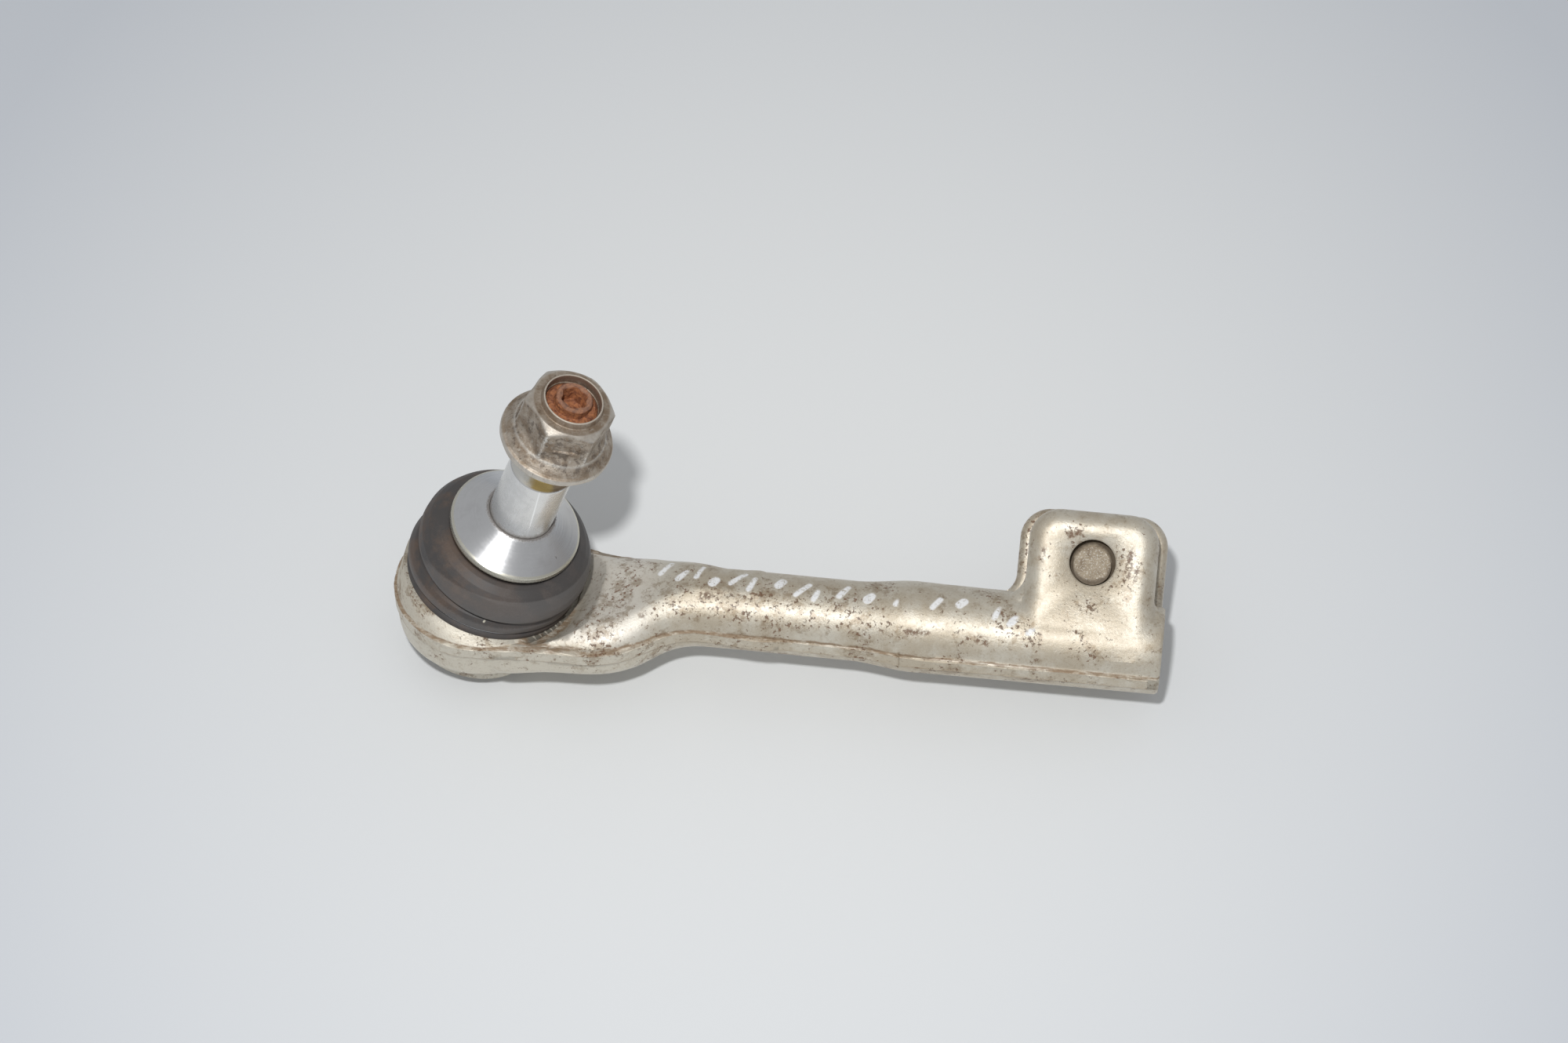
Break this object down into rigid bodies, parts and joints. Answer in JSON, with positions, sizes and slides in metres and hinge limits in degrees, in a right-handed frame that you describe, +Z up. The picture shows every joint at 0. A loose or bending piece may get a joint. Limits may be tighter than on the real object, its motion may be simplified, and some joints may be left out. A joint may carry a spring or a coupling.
{
  "type": "tie rod end",
  "caption": "Used steering tie rod end: a ball stud with flange nut leans out of a rubber-booted housing, and a threaded tube with a split lug is closed by a pinch bolt.",
  "frame": {"origin": "on the clamp tube's bore axis where its full thread starts, 0.9 mm inside the mouth", "axes": "+X along the bore axis out of the mouth, +Z up with the part lying as it comes to rest, ball joint at -X with its stud up, lug towards +Y"},
  "size_m": [0.2041, 0.0593, 0.1053],
  "materials": {
    "forged_steel": "pale plated forging, dull, specked with rust",
    "cup_plastic": "moulded",
    "cover_steel": "pressed, plated",
    "ring_steel": "drawn wire",
    "bolt_steel": "dull, dirty",
    "boot_rubber": "moulded, slightly brown",
    "stud_steel": "ground, rusty at the tip",
    "collar_aluminium": "turned and polished",
    "nut_steel": "tarnished brownish grey"
  },
  "bodies": {
    "housing": {"housing": "forged_steel", "bearing_shell": "cup_plastic", "cover_plate": "cover_steel", "boot_ring_lower": "ring_steel", "clamp_bolt": "bolt_steel"},
    "boot": {"dust_boot": "boot_rubber"},
    "boot_top": {"boot_ring_upper": "ring_steel"},
    "stud": {"ball_stud": "stud_steel", "stud_collar": "collar_aluminium", "flange_nut": "nut_steel"}
  },
  "joints": [
    {"name": "tilt_side", "type": "hinge", "parent": "housing", "child": "boot", "pos_m": [-0.1786, 0, 0], "axis": [0.9659, -0.036, -0.2563], "range_deg": [-20.66, 11.34], "deforming": ["dust_boot"]},
    {"name": "tilt_along", "type": "hinge", "parent": "boot", "child": "boot_top", "pos_m": [-0.1786, 0, 0], "axis": [0.021, 0.9979, -0.061], "range_deg": [-19.29, 12.71]},
    {"name": "stud_spin", "type": "hinge", "parent": "boot_top", "child": "stud", "pos_m": [-0.1786, 0, 0], "axis": [0.313, 0.0514, 0.9484], "continuous": true}
  ]
}
